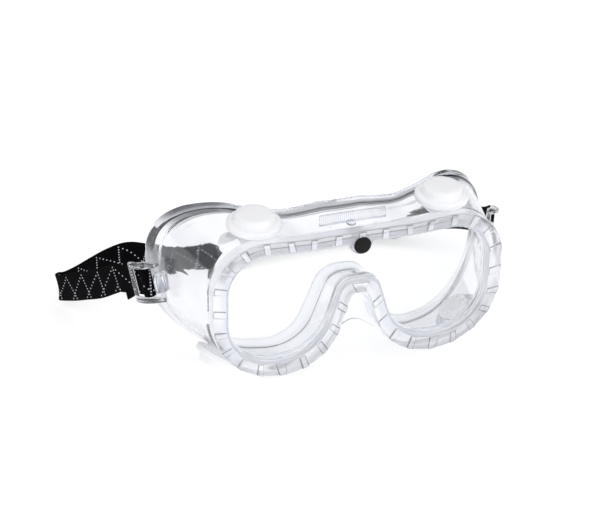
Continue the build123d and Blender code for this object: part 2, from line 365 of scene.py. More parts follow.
OUTSIDE_STEPS = 16
INSIDE_STEPS = 12
FLANGE_PROFILE = [  # how far out from the shell, and how far in front of the face
    (0.2, 5.1), (0.8, 4.85), (FLANGE_OUT, 4.5), (FLANGE_OUT, 3.0), (FLANGE_OUT, 1.5), (FLANGE_OUT, 0.6),
    (FLANGE_OUT - 0.3, 0.1), (0.3, 0), (-1.2, 0), (-2.6, 0), (0.4 - FLANGE_IN, 0.05), (-FLANGE_IN, 0.5),
    (-FLANGE_IN, 1.5), (0.4 - FLANGE_IN, FLANGE_THICK), (-WALL - 0.5, FLANGE_THICK + 0.3),
    (-WALL, FLANGE_THICK + 1.2),
]


def body_sections():
    """Rings round the body, from the lens's front over the rim and the shell to the flange and back."""
    outer = rim_outline.loop(STEPS)
    inner = lens_opening.loop(STEPS)
    across = np.clip(TAB_RADIUS ** 2 - inner[:, 0] ** 2, 0, None)
    tab = (across > 0) & (inner[:, 1] > STUD_HEIGHT - TAB_RADIUS)
    inner[:, 1] = np.where(tab, np.minimum(inner[:, 1], STUD_HEIGHT - np.sqrt(across)), inner[:, 1])
    grip = lens_opening.grown(LENS_GRIP).loop(STEPS)

    lengths = np.linalg.norm(np.roll(outer, -1, axis=0) - outer, axis=1)
    along = np.concatenate([[0], np.cumsum(lengths)[:-1]])
    girth = lengths.sum()
    rib = rib_profile(along, girth / round(girth / RIB_SPACING))
    outward = outer - inner
    outward /= np.linalg.norm(outward, axis=1)[:, None]

    def band(from_outer, depth, lift=0.0):
        """A ring on the rim, this far in from its outer edge, and lifted forwards on a rib."""
        depth = depth - lift * rib
        return moved_towards(at_depth(outer, depth), at_depth(inner, depth), from_outer)

    def lip(from_inner, depth, lift=0.0):
        """The same, but this far out from the opening."""
        depth = depth - lift * rib
        return moved_towards(at_depth(inner, depth), at_depth(outer, depth), from_inner)

    def side(depth, out, lift=0.0):
        """A ring on the rim's outside, this far out from it, and lifted outwards on a rib."""
        return at_depth(outer + outward * (out + lift * rib)[:, None], depth)

    rings = [
        lip(0.05, -0.05),
        lip(0.0, -1.3),
        lip(0.35, -2.15),
        lip(0.95, -2.5),
        lip(1.5, -2.5),
        lip(1.6, RIM_FRONT + 0.1),
        lip(1.75, RIM_FRONT),
        lip(1.9, RIM_FRONT),
        lip(2.0, RIM_FRONT, RIB_RISE),
        band(2.4, RIM_FRONT, RIB_RISE),
        band(0.5, RIM_FRONT, RIB_RISE),
        band(0.22, RIM_FRONT + 0.1, RIB_RISE * 0.9),
        band(0.06, RIM_FRONT + 0.35, RIB_RISE * 0.6),
        side(-2.1, 0.0, 0.06),
        side(-1.0, 0.0, 0.08),
        side(0.6, 0.0, 0.08),
        side(2.4, 0.0, 0.06),
        side(3.3, 0.0),
        side(4.1, -0.25),
        side(4.6, -0.7),
    ]
    shell = Shell(0)
    first, last = shell.share_at_depth(5.4), shell.share_at_face(5.4)
    rings += [shell.at(first + (last - first) * step / OUTSIDE_STEPS) for step in range(OUTSIDE_STEPS + 1)]
    rings += [Shell(growth).at_face(layer) for growth, layer in FLANGE_PROFILE]
    shell = Shell(-WALL)
    first, last = shell.share_at_face(FLANGE_THICK + 2.4), shell.share_at_depth(6.4)
    rings += [shell.at(first + (last - first) * step / INSIDE_STEPS) for step in range(INSIDE_STEPS + 1)]
    rings += [
        band(3.9, RIM_BACK + 0.5),
        band(4.8, RIM_BACK),
        lip(1.2, RIM_BACK),
        lip(0.3, RIM_BACK - 0.3),
        lip(0.0, RIM_BACK - 1.0),
        lip(0.05, LENS_THICK + 0.05),
        at_depth(grip, LENS_THICK + 0.05),
        at_depth(grip, -0.05),
    ]
    return rings


# ------------------------------ places of the vents and the clips


def frame_at(origin, x_axis, z_axis):
    """The matrix from millimetres on a plane to the row frame; origin is x, depth and height."""
    z_axis = Vector(z_axis).normalized()
    x_axis = Vector(x_axis)
    x_axis = (x_axis - z_axis * x_axis.dot(z_axis)).normalized()
    turn = Matrix((x_axis, z_axis.cross(x_axis), z_axis)).transposed().to_4x4()
    return Matrix.Translation(metres(origin)) @ turn @ Matrix.Scale(MM, 4)


def vent_frame(side, upper):
    half, depth, height = VENT_TOP if upper else VENT_BOTTOM
    out, forward, up = VENT_TOP_NORMAL if upper else VENT_BOTTOM_NORMAL
    normal = Vector((side * out, forward, up))
    return frame_at((side * half, depth, height), normal.cross(Vector((1, 0, 0))), normal)


def clip_frame(side):
    """Local z up the hinge and local x back along the clip."""
    half, depth, height = CLIP_PIVOT
    swing = radians(CLIP_SWING)
    axis = (side * CLIP_AXIS[0], CLIP_AXIS[1], CLIP_AXIS[2])
    return frame_at((side * half, depth, height), (side * sin(swing), cos(swing), 0), axis)


def clip_out(side):
    """1 where the local y of a clip's frame points away from the head, and -1 where it points inwards."""
    return side * (1 if clip_frame(side).col[1].x > 0 else -1)


SIDES = {"left": -1, "right": 1}
VENTS = {f"{row}_{label}": vent_frame(side, row == "top") for row in ("top", "bottom")
         for label, side in SIDES.items()}


# ------------------------------ shapes on a plane


def shaded(mesh, angle=38.0):
    """The mesh, smooth but for edges that turn by more than the angle in degrees."""
    mesh.polygons.foreach_set("use_smooth", [True] * len(mesh.polygons))
    mesh.set_sharp_from_angle(angle=radians(angle))
    mesh.update()
    return mesh


def lathe(name, place, profile, steps=72, ring=False):
    """A turned shape from radii and levels; a ring's profile is closed on itself."""
    points = [place @ Vector((x, y, level)) for radius, level in profile for x, y in circle(radius, steps)]
    return shaded(mesh_from(name, points, ring_faces(len(profile), steps, closed=ring)))


def prism(name, place, outline, low, high, edge=0.25):
    """A flat shape between two levels, with its edges rounded."""
    points = [Vector((x, y, level)) for level in (low, high) for x, y in outline]
    mesh = mesh_from(name, points, ring_faces(2, len(outline)))
    work = bmesh.new()
    work.from_mesh(mesh)
    rims = [rim for rim in work.edges if abs(rim.verts[0].co.z - rim.verts[1].co.z) < 1e-6]
    if edge:
        bmesh.ops.bevel(work, geom=rims, offset=edge, segments=3, profile=0.5, affect="EDGES",
                        clamp_overlap=True)
    bmesh.ops.recalc_face_normals(work, faces=work.faces)
    bmesh.ops.transform(work, matrix=place, verts=work.verts)
    work.to_mesh(mesh)
    work.free()
    return shaded(mesh)


def circle(radius, steps, centre=(0, 0)):
    turns = [2 * pi * step / steps for step in range(steps)]
    return [(centre[0] + radius * cos(turn), centre[1] + radius * sin(turn)) for turn in turns]


def box_outline(x0, x1, y0, y1):
    return [(x0, y0), (x1, y0), (x1, y1), (x0, y1)]


def together(name, meshes):
    """One mesh from several that only touch or overlap."""
    work = bmesh.new()
    for mesh in meshes:
        work.from_mesh(mesh)
    joined = bpy.data.meshes.new(name)
    work.to_mesh(joined)
    work.free()
    return shaded(joined)


# ------------------------------ the body


def curve_through(points, steps):
    """A smooth line through points of any dimension, with the given steps between each two."""
    points = np.array(points, dtype=float)
    padded = np.vstack([2 * points[0] - points[1], points, 2 * points[-1] - points[-2]])
    line = []
    for before, start, end, after in zip(padded, padded[1:], padded[2:], padded[3:]):
        for share in np.arange(steps) / steps:
            line.append(0.5 * (2 * start + (end - before) * share
                               + (2 * before - 5 * start + 4 * end - after) * share ** 2
                               + (3 * start - before - 3 * end + after) * share ** 3))
    return np.array(line + [points[-1]])


SADDLE_EDGE = [(-23, 3.6), (-16.5, 8.4), (-10, 14.9), (0, 20.1), (10, 14.9), (16.5, 8.4), (23, 3.6)]
SADDLE_STEPS = 6
SADDLE_BURIED = 1.0  # how far the web's edge reaches into the wall
ARCH_HALF_WIDTH = 30.0
ARCH_TOP = 45.0
ARCH_FOOT = 4.4


def saddle_mesh():
    """The web that closes the notch over the nose, cut off inside the wall."""
    lower = curve_through(SADDLE_EDGE, SADDLE_STEPS)
    inside = shell_front.grown(-SADDLE_BURIED).loop(STEPS)
    arch = inside[(np.abs(inside[:, 0]) < ARCH_HALF_WIDTH) & (inside[:, 1] < ARCH_TOP)]
    # up the right side and down the left one: far is more than any height
    far = 1000
    turn = np.where(arch[:, 0] > 0, arch[:, 1] - far, far - arch[:, 1]) - arch[:, 0] / far
    arch = arch[np.argsort(turn)]
    upright = Matrix(((1, 0, 0), (0, 0, -1), (0, 1, 0))).to_4x4()
    place = Matrix.Translation(metres((0, 0, 0))) @ upright @ Matrix.Scale(MM, 4)
    outline = [tuple(point) for point in (*lower, *arch[arch[:, 1] > ARCH_FOOT])]
    return prism("saddle", place, outline, -SADDLE_DEPTH, SADDLE_THICK - SADDLE_DEPTH, edge=0.3)


def ear_mesh(side):
    """The ear on the wall that a clip's front bar turns in, with its hole."""
    into = -clip_out(side)
    bore = BAR_RADIUS + EAR_PLAY
    edge = 0.35
    half = EAR_WIDTH / 2
    lower = [(bore, -half + edge), (bore + edge, -half), (EAR_RADIUS - edge, -half),
             (EAR_RADIUS, -half + edge)]
    profile = lower + [(radius, -level) for radius, level in reversed(lower)]
    ring = loose("ear", lathe("ear", clip_frame(side), profile, 48, ring=True))
    near, far = sorted((into * (bore + 0.7), into * (EAR_WEB + 0.3)))
    web = prism("ear_web", clip_frame(side), box_outline(-EAR_RADIUS * 0.8, EAR_RADIUS * 0.8, near, far),
                -half + 0.1, half - 0.1, edge=0.3)
    combine(ring, loose("ear_web", web), "UNION")
    return ring


VENT_HOLE_LEVELS = (-6.0, 3.0)  # far enough to go through the wall
STUD_HOLE_LEVELS = (-8.0, 8.0)  # and through the rim

body = loose("goggle_body_shell", skin("goggle_body_shell", body_sections(), closed=True))
stud_place = frame_at((0, 0, STUD_HEIGHT), (1, 0, 0), (0, -1, 0))  # local z forwards
vent_hole, stud_hole = circle(COLLAR_RADIUS, 64), circle(SHANK_RADIUS, 32)
holes = [prism("vent_hole", place, vent_hole, *VENT_HOLE_LEVELS, edge=0) for place in VENTS.values()]
holes.append(prism("stud_hole", stud_place, stud_hole, *STUD_HOLE_LEVELS, edge=0))
combine(body, loose("vent_holes", together("vent_holes", holes)), "DIFFERENCE")
combine(body, loose("saddle", saddle_mesh()), "UNION")
for side in SIDES.values():
    combine(body, ear_mesh(side), "UNION")
shaded(body.data, 50)
finish_piece(body, "frame", ["goggle_body"])


BROW_HEIGHT = 60.0  # the brow is the part of the shell above this


def brow_point(x, share):
    """A point on the brow, this far along from the rim to the face."""
    shell = Shell(0)
    row = shell.at(np.full(len(shell.front), share))
    upper = row[row[:, 2] > BROW_HEIGHT]
    upper = upper[np.argsort(upper[:, 0])]
    return Vector((x, np.interp(x, upper[:, 0], upper[:, 1]), np.interp(x, upper[:, 0], upper[:, 2])))


BROW_UP = (0, -0.1, 1)
PANEL_HALF = 17.0
PANEL_LINES = 33
PANEL_SLANT = 2.6
PANEL_LOW = 0.13  # shares of the way from the rim to the face
PANEL_HIGH = 0.25


def panel_line(start, end, half, low, high, edge):
    """A low straight ridge on the brow between two points."""
    place = frame_at(start, end - start, BROW_UP)
    return prism("panel_line", place, box_outline(0, (end - start).length, -half, half), low, high, edge)


def panel_mesh():
    """A low panel of fine slanted lines moulded on the brow, inside a border."""
    meshes = []
    for line in range(PANEL_LINES):
        x = -PANEL_HALF + 2 * PANEL_HALF * line / (PANEL_LINES - 1)
        outer = line in (0, PANEL_LINES - 1)
        half, high = (0.25, 0.26) if outer else (0.16, 0.14)
        start, end = brow_point(x, PANEL_LOW), brow_point(x + PANEL_SLANT, PANEL_HIGH)
        meshes.append(panel_line(start, end, half, -0.5, high, 0.08))
    for share, shift in ((PANEL_LOW, 0.0), (PANEL_HIGH, PANEL_SLANT)):
        start, end = (brow_point(x + shift, share) for x in (-PANEL_HALF, PANEL_HALF))
        meshes.append(panel_line(start, end, 0.22, -0.9, 0.26, 0.1))
    return together("brow_panel", meshes)


def gate_mark_mesh():
    """The round scar the mould's inlet leaves on the brow."""
    place = frame_at(brow_point(-1.5, 0.1), (1, 0, 0), BROW_UP)
    profile = [(0.2, -0.6), (2.4, -0.6), (2.4, 0.2), (2.2, 0.42), (1.7, 0.5), (1.3, 0.45), (1.1, 0.25),
               (0.2, 0.2)]
    return lathe("gate_mark", place, profile, 48)


make_object("gate_mark", gate_mark_mesh(), "frame")
make_object("brow_panel", panel_mesh(), "frame")


# ------------------------------ lens, stud and washer


def lens_mesh():
    profile = [(-2.0, 0.0), (-0.2, 0.0), (0.0, 0.15), (0.0, LENS_THICK - 0.15), (-0.2, LENS_THICK),
               (-2.0, LENS_THICK)]
    rings = [at_depth(lens_opening.grown(LENS_GRIP - LENS_PLAY + grow).loop(STEPS), depth)
             for grow, depth in profile]
    return shaded(skin("lens_sheet", rings))


lens = loose("lens_sheet", lens_mesh())
lens_hole = prism("lens_hole", stud_place, stud_hole, -4, 3, edge=0)
combine(lens, loose("lens_hole", lens_hole), "DIFFERENCE")
shaded(lens.data)
finish_piece(lens, "frame", ["lens"])

HEAD = -RIM_FRONT  # levels along the stud, forwards from the lens's front
WASHER_FRONT = -RIM_BACK
WASHER_BACK = -RIM_BACK - WASHER_THICK
SHANK = SHANK_RADIUS - 0.02
HEAD_PROFILE = [
    (0.2, HEAD), (3.9, HEAD), (STUD_RADIUS - 0.12, HEAD + 0.08), (STUD_RADIUS, HEAD + 0.3),
    (STUD_RADIUS, HEAD + 0.95), (4.1, HEAD + 1.3), (3.65, HEAD + 1.62), (3.0, HEAD + 1.84),
    (2.0, HEAD + 1.96), (0.9, HEAD + STUD_PROUD), (0.2, HEAD + STUD_PROUD),
]
SHANK_PROFILE = [
    (0.2, WASHER_BACK - 0.5), (1.5, WASHER_BACK - 0.5), (SHANK, WASHER_BACK - 0.2), (SHANK, HEAD),
    (0.2, HEAD),
]
WASHER_PROFILE = [
    (SHANK_RADIUS, WASHER_BACK), (WASHER_RADIUS - 0.35, WASHER_BACK), (WASHER_RADIUS, WASHER_BACK + 0.35),
    (WASHER_RADIUS, WASHER_FRONT - 0.1), (WASHER_RADIUS - 0.1, WASHER_FRONT), (SHANK_RADIUS, WASHER_FRONT),
]
make_object("brow_stud_head", lathe("brow_stud_head", stud_place, HEAD_PROFILE, 96), "frame",
            ["brow_stud"])
make_object("brow_stud_shank", lathe("brow_stud_shank", stud_place, SHANK_PROFILE, 48), "frame")
make_object("stud_washer_ring", lathe("stud_washer_ring", stud_place, WASHER_PROFILE, 64, ring=True), "frame",
            ["stud_washer"])


# ------------------------------ vents

CAP_PROFILE = [
    (0.2, 0.0), (1.7, 0.0), (STEM_RADIUS, 0.3), (STEM_RADIUS, 1.9), (2.4, 2.3), (11.2, 2.3),
    (11.65, 2.15), (11.8, 1.8), (11.85, 1.0), (12.05, 0.8), (12.85, 0.8), (13.12, 0.95), (13.2, 1.25),
    (13.2, 3.0), (13.1, 3.45), (12.75, 3.75), (12.1, 3.9), (10.9, 3.95), (10.4, 4.05), (10.1, 4.3),
    (9.98, 4.7), (9.75, 6.0), (9.55, 6.9), (9.3, 7.4), (8.85, 7.75), (8.2, 7.88), (6.5, 7.9),
    (3.0, 7.92), (0.2, 7.92),
]


SEAT_BORE = COLLAR_RADIUS - COLLAR_WALL
COLLAR = COLLAR_RADIUS - 0.03
SEAT_PROFILE = [
    (SEAT_BORE, -COLLAR_DEPTH + 0.2), (SEAT_BORE + 0.2, -COLLAR_DEPTH), (COLLAR_RADIUS - 0.25, -COLLAR_DEPTH),
    (COLLAR, -COLLAR_DEPTH + 0.25), (COLLAR, -0.02), (9.8, 0.0), (10.0, 0.2), (10.0, SEAT_BRIM - 0.3),
    (9.7, SEAT_BRIM), (SEAT_BORE + 0.25, SEAT_BRIM), (SEAT_BORE, SEAT_BRIM - 0.25),
]
HUB_PROFILE = [
    (STEM_RADIUS, 0.15), (STEM_RADIUS + 0.15, 0.0), (HUB_RADIUS - 0.2, 0.0), (HUB_RADIUS, 0.2),
    (HUB_RADIUS, SEAT_BRIM - 0.2), (HUB_RADIUS - 0.2, SEAT_BRIM), (STEM_RADIUS + 0.15, SEAT_BRIM),
    (STEM_RADIUS, SEAT_BRIM - 0.15),
]


def seat_mesh(name, place):
    """A collar with a brim, and a hub for the cap's stem on four spokes."""
    meshes = [lathe(name, place, SEAT_PROFILE, 72, ring=True), lathe(name, place, HUB_PROFILE, 40, ring=True)]
    spoke = box_outline(HUB_RADIUS - 0.3, SEAT_BORE + 0.3, -SPOKE_WIDTH / 2, SPOKE_WIDTH / 2)
    for quarter in range(4):
        turn = Matrix.Rotation(quarter * pi / 2, 4, "Z")
        meshes.append(prism(name, place @ turn, spoke, 0.0, SEAT_BRIM - 0.02, edge=0.15))
    return together(name, meshes)


BAFFLE_NOTCHES = 6
NOTCH_RADIUS = 1.5
NOTCH_STEPS = 8


def baffle_mesh(name, place):
    """A disc with notches in its edge."""
    outline = []
    radius = SEAT_BORE - 0.02
    pitch = 2 * pi / BAFFLE_NOTCHES
    half = NOTCH_RADIUS / radius
    for notch in range(BAFFLE_NOTCHES):
        middle = notch * pitch
        for step in range(NOTCH_STEPS + 1):
            turn = pi / 2 + pi * step / NOTCH_STEPS
            x, y = radius + NOTCH_RADIUS * cos(turn), NOTCH_RADIUS * -sin(turn)
            outline.append((x * cos(middle) - y * sin(middle), x * sin(middle) + y * cos(middle)))
        for step in range(1, NOTCH_STEPS):
            angle = middle + half + (pitch - 2 * half) * step / NOTCH_STEPS
            outline.append((radius * cos(angle), radius * sin(angle)))
    return prism(name, place, outline, -COLLAR_DEPTH, -COLLAR_DEPTH + BAFFLE_THICK, edge=0.15)


for vent, place in VENTS.items():
    for part, ending, mesh in (("cap", "turned", lathe(f"vent_cap_{vent}", place, CAP_PROFILE, 96)),
                               ("seat", "turned", seat_mesh(f"vent_seat_{vent}", place)),
                               ("baffle", "cut", baffle_mesh(f"vent_baffle_{vent}", place))):
        make_object(f"vent_{part}_{vent}_{ending}", mesh, "frame", [f"vent_{part}_{vent}"])


# ------------------------------ clips


def clip_piece(side, label):
    """Two cheeks under an arched bridge, joined by the hinge bar, the middle bar and the rear bar."""
    place, out = clip_frame(side), clip_out(side)

    def arc(start, through, end, steps=14):
        """Points on a parabola-like bow from start to end that passes through a point at its middle."""
        start, through, end = (np.array(point, dtype=float) for point in (start, through, end))
        control = 2 * through - (start + end) / 2
        shares = np.linspace(0, 1, steps)[:, None]
        return (1 - shares) ** 2 * start + 2 * shares * (1 - shares) * control + shares ** 2 * end

    bow = arc((0.2, BAR_RADIUS), (CLIP_LENGTH * 0.55, BAR_RADIUS + BRIDGE_RISE),
              (CLIP_LENGTH + 0.9, REAR_BAR_OUT + 1.0))
    tail = [(CLIP_LENGTH + BAR_RADIUS, REAR_BAR_OUT + 0.3), (CLIP_LENGTH + 1.2, REAR_BAR_OUT - 0.5),
            (CLIP_LENGTH + 0.4, REAR_BAR_OUT - 1.2)]
    under = arc((CLIP_LENGTH - 1.0, -0.1), (12.6, 0.25), (CLIP_MIDDLE + 0.3, -BAR_RADIUS), 7)
    nose = [(-BAR_RADIUS * sin(angle), -BAR_RADIUS * cos(angle)) for angle in np.linspace(0, pi, 9)][:-1]
    outline = [(x, out * y) for x, y in [*bow, *tail, *under, *nose]]
    half = CLIP_WIDTH / 2
    piece = loose(label, prism(label, place, outline, -half, CLIP_CHEEK - half, edge=0.45))
    cheek = prism("cheek", place, outline, half - CLIP_CHEEK, half, edge=0.45)
    combine(piece, loose("cheek", cheek), "UNION")
    end = half - BAR_SHORT
    for along, off, radius in ((0, 0, BAR_RADIUS), (CLIP_MIDDLE, 0, BAR_RADIUS),
                               (CLIP_LENGTH, out * REAR_BAR_OUT, REAR_BAR_RADIUS)):
        bar = prism("bar", place, circle(radius, 40, (along, off)), -end, end, edge=0.1)
        combine(piece, loose("bar", bar), "UNION")
    shaded(piece.data, 45)
    return piece


for label, side in SIDES.items():
    finish_piece(clip_piece(side, f"strap_clip_{label}_moulded"), f"clip_{label}",
                 [f"strap_clip_{label}"])


# ------------------------------ strap


WEAVE_SCALE = 10  # texture units in a metre of strap


def ribbon(name, centres, acrosses, normals, start=0.0):
    """The strap's mesh along centres in metres, with its length and width in metres as its texture axes."""
    half, thick, edge = STRAP_WIDTH / 2, STRAP_THICK / 2, 0.35
    corner = [(-half, -thick + edge), (-half + edge * 0.4, -thick + 0.1), (-half + edge, -thick)]
    under = corner + [(0, -thick)] + [(-x, y) for x, y in reversed(corner)]
    section = under + [(-x, -y) for x, y in under]
    lengths = np.concatenate([[0], np.cumsum(np.linalg.norm(np.diff(centres, axis=0), axis=1))]) + start
    points, texture = [], []
    for centre, across, normal, length in zip(centres, acrosses, normals, lengths):
        for off, rise in section:
            points.append(centre + across * (off * MM) + normal * (rise * MM))
            texture.append((length * WEAVE_SCALE, off * MM * WEAVE_SCALE))
    mesh = mesh_from(name, points, ring_faces(len(centres), len(section)))
    layer = mesh.uv_layers.new(name="weave")
    for loop in mesh.loops:
        layer.data[loop.index].uv = texture[loop.vertex_index]
    return shaded(mesh, 55)


def turned_path(path, place, out):
    """Centres, width directions and face directions for a path on a clip's plane."""
    turn = place.to_3x3()
    centres = np.array([tuple(place @ Vector((x, out * y, level))) for x, y, level in path])
    across = np.array(tuple(turn.col[2].normalized()))
    runs = np.gradient(centres, axis=0)
    runs /= np.linalg.norm(runs, axis=1)[:, None]
    return centres, np.tile(across, (len(centres), 1)), np.cross(runs, across)


def end_path():
    """In under the rear bar, round the middle bar and back as a tail."""
    turn = BAR_RADIUS + 0.1 + STRAP_THICK / 2
    inset = -STRAP_INSET
    way_in = curve_through([(STRAP_JOIN, inset), (24, inset), (18, inset), (14.4, inset + 0.2), (12.2, 0.4),
                            (10.4, turn - 0.15), (CLIP_MIDDLE, turn)], 5)
    bend = [(CLIP_MIDDLE - turn * sin(angle), turn * cos(angle)) for angle in np.linspace(0, pi, 17)][1:-1]
    out = -TAIL_INSET + 0.2
    way_out = curve_through([(CLIP_MIDDLE, -turn), (12, -TAIL_INSET + 0.15), (DROP_START, out), (23, out),
                             (TAIL_END, out)], 5)
    drop = TAIL_DROP / (TAIL_END - DROP_START)
    level = [(x, y, 0) for x, y in [*way_in, *bend]]
    return level + [(x, y, -drop * max(0, x - DROP_START)) for x, y in way_out]


# the loose strap's stops: x, y, height of the lower edge above the table, and twist from upright in degrees
ROUTE = [
    (-107.5, 79.0, 19.5, 0), (-113.0, 92.0, 12.5, 5), (-117.3, 103.0, 6.7, 10), (-119.7, 109.5, 3.9, 10),
    (-119.8, 113.2, 2.7, 6), (-116.8, 115.4, 2.1, 0), (-110.0, 118.5, 2.3, 0), (-100.0, 124.5, 2.9, 0),
    (-89.0, 128.6, 4.7, 0), (-78.0, 129.0, 6.5, 0), (-67.0, 124.5, 5.5, 0), (-56.0, 119.5, 3.8, 0),
    (-44.0, 117.8, 3.4, 0), (-35.5, 119.5, 2.6, 22), (-29.5, 121.5, 1.7, 47), (-24.0, 123.6, 0.8, 72),
    (-15.0, 127.0, 0, 100), (-4.0, 129.3, 0, 116), (22.0, 130.8, 0, 118), (44.0, 130.8, 0, 117),
    (60.0, 129.0, 0.8, 110), (72.0, 125.2, 3.2, 94), (82.0, 119.2, 7.4, 68), (90.5, 111.0, 11.8, 42),
    (97.0, 101.2, 15.6, 20), (102.0, 91.0, 18.4, 6), (105.0, 79.0, 21.0, 0),
]
FOLD_STOP = 4  # the stop in the route where the left part ends
RIGHT_STOP = 23  # the stop where the right part starts
STOP_STEPS = 8
HELD_STEPS = 1.5 * STOP_STEPS  # how far from a clip the strap's width still follows it


def strap_line():
    """Centres, width directions and face directions of the loose strap, from the left clip to the right."""
    joins = [clip_frame(side) @ Vector((STRAP_JOIN, -STRAP_INSET * clip_out(side), 0)) for side in (-1, 1)]
    stops = []
    for x, y, rise, twist in ROUTE:
        half = STRAP_WIDTH / 2 * abs(cos(radians(twist))) + STRAP_THICK / 2 * sin(radians(twist))
        stops.append((x * MM, y * MM, (RIM_BASE + TABLE + rise + half) * MM, radians(twist)))
    line = curve_through([(*joins[0], 0), *stops, (*joins[1], 0)], STOP_STEPS)
    centres, twists = line[:, :3], line[:, 3]
    runs = np.gradient(centres, axis=0)
    acrosses, normals = [], []
    for index, (run, twist) in enumerate(zip(runs, twists)):
        run = Vector(run).normalized()
        up = Vector((0, 0, 1))
        free = 1.0  # 0 where a clip holds the strap's width along its own bars
        for side, near in ((-1, index), (1, len(runs) - 1 - index)):
            hinge = Vector(clip_frame(side).col[2][:3]).normalized()
            held = max(0.0, 1 - near / HELD_STEPS)
            up = up.lerp(hinge, held)
            free = min(free, 1 - held)
        up = (up - run * up.dot(run) * free).normalized()
        up.rotate(Matrix.Rotation(-twist, 3, run))
        acrosses.append(tuple(up))
        normals.append(tuple(run.cross(up)))
    return centres, np.array(acrosses), np.array(normals)


def strap_pieces():
    """The loose strap: a rear part fixed to the frame, and a part at each side after its clip, tied to no
    body.
    """
    centres, acrosses, normals = strap_line()
    cuts = [0, (FOLD_STOP + 1) * STOP_STEPS, (RIGHT_STOP + 1) * STOP_STEPS, len(centres) - 1]
    pieces = {}
    for name, first, last in zip(("left", "rear", "right"), cuts, cuts[1:]):
        span = slice(first, last + 1)
        before = np.linalg.norm(np.diff(centres[:first + 1], axis=0), axis=1).sum()
        mesh = ribbon(f"strap_band_{name}", centres[span], acrosses[span], normals[span], before)
        pieces[name] = loose(f"strap_band_{name}", mesh)
    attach(pieces["rear"], "frame")
    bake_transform(pieces["left"])
    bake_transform(pieces["right"])
    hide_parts("strap_band")


strap_pieces()
for label, side in SIDES.items():
    centres, acrosses, normals = turned_path(end_path(), clip_frame(side), clip_out(side))
    make_object(f"strap_end_{label}_folded", ribbon(f"strap_end_{label}", centres, acrosses, normals, 0.003),
                f"clip_{label}", [f"strap_end_{label}"])


# ------------------------------ materials


def fill(tree, socket, value):
    """Sets a socket, or links it if the value is another node's socket."""
    if isinstance(value, bpy.types.NodeSocket):
        tree.links.new(value, socket)
    else:
        socket.default_value = value


def feed(tree, target, **inputs):
    """Fills a node's sockets by name, with _ for a space."""
    for key, value in inputs.items():
        fill(tree, target.inputs[key.replace("_", " ")], value)
    return target


def node(tree, kind, **inputs):
    return feed(tree, tree.nodes.new(kind), **inputs)


def maths(tree, operation, *values):
    made = tree.nodes.new("ShaderNodeMath")
    made.operation = operation
    for socket, value in zip(made.inputs, values):
        fill(tree, socket, value)
    return made.outputs[0]


def mixed(tree, share, under, over):
    """The colour under where share is 0, and the colour over where it is 1."""
    made = tree.nodes.new("ShaderNodeMix")
    made.data_type = "RGBA"
    return feed(tree, made, Factor=share, A=under, B=over).outputs["Result"]


def new_material(name, clear=False, **inputs):
    """A material with one plastic shader; a clear one casts no dark shadow."""
    material = bpy.data.materials.new(name)
    material.use_nodes = True
    tree = material.node_tree
    tree.nodes.clear()
    shader = node(tree, "ShaderNodeBsdfPrincipled", **inputs)
    surface = shader.outputs[0]
    if clear:
        shader.inputs["Transmission Weight"].default_value = 1
        see = node(tree, "ShaderNodeBsdfTransparent", Color=inputs["Base_Color"])
        light = tree.nodes.new("ShaderNodeLightPath")
        mix = node(tree, "ShaderNodeMixShader", Fac=light.outputs["Is Shadow Ray"])
        tree.links.new(surface, mix.inputs[1])
        tree.links.new(see.outputs[0], mix.inputs[2])
        surface = mix.outputs[0]
    node(tree, "ShaderNodeOutputMaterial", Surface=surface)
    return material, tree, shader


def bumpy(tree, shader, height, distance, strength):
    bump = node(tree, "ShaderNodeBump", Height=height, Distance=distance, Strength=strength)
    feed(tree, shader, Normal=bump.outputs[0])


def object_noise(tree, scale, detail=3.0, stretch=(1, 1, 1)):
    place = tree.nodes.new("ShaderNodeTexCoord").outputs["Object"]
    placed = node(tree, "ShaderNodeMapping", Vector=place, Scale=stretch).outputs[0]
    return node(tree, "ShaderNodeTexNoise", Vector=placed, Scale=scale, Detail=detail).outputs["Fac"]


def ramp(tree, value, low, high, dark, light):
    made = node(tree, "ShaderNodeValToRGB", Fac=value)
    for element, position, colour in zip(made.color_ramp.elements, (low, high), (dark, light)):
        element.position, element.color = position, (*colour, 1)
    return made.outputs[0]


def smooth(tree, value, low, high):
    """0 below low and 1 above high; the other way round if low is the larger."""
    made = tree.nodes.new("ShaderNodeMapRange")
    made.interpolation_type = "SMOOTHSTEP"
    ends = (low, high, 0, 1) if low < high else (high, low, 1, 0)
    for socket, setting in zip(made.inputs, (value, *ends)):
        fill(tree, socket, setting)
    return made.outputs[0]


def product(tree, *values):
    return reduce(partial(maths, tree, "MULTIPLY"), values)


def between(tree, value, start, full, fading, end):
    """1 from full to fading, and 0 below start and above end."""
    return product(tree, smooth(tree, value, start, full), smooth(tree, value, end, fading))


def coordinates(tree, kind):
    place = tree.nodes.new("ShaderNodeTexCoord").outputs[kind]
    return node(tree, "ShaderNodeSeparateXYZ", Vector=place).outputs


def body_places(tree):
    """Where a point of the body is: its x, y and height, and how far in front of the face it lies."""
    calc = partial(maths, tree)
    x, y, z = coordinates(tree, "Object")
    back = calc("ADD", y, -FACE_CENTRE * MM)
    radius = calc("SQRT", calc("ADD", calc("MULTIPLY", x, x), calc("MULTIPLY", back, back)))
    return x, y, z, calc("ADD", radius, -FACE_RADIUS * MM)


def matt_shares(tree):
    """1 on the rim round the lens, and 1 on the cheeks' flange, which are both matt from their mould."""
    _, y, z, layer = body_places(tree)
    flange = product(tree, smooth(tree, layer, 0.009, 0.006), smooth(tree, z, 0.002, -0.010))
    return smooth(tree, y, 0.007, 0.004), flange
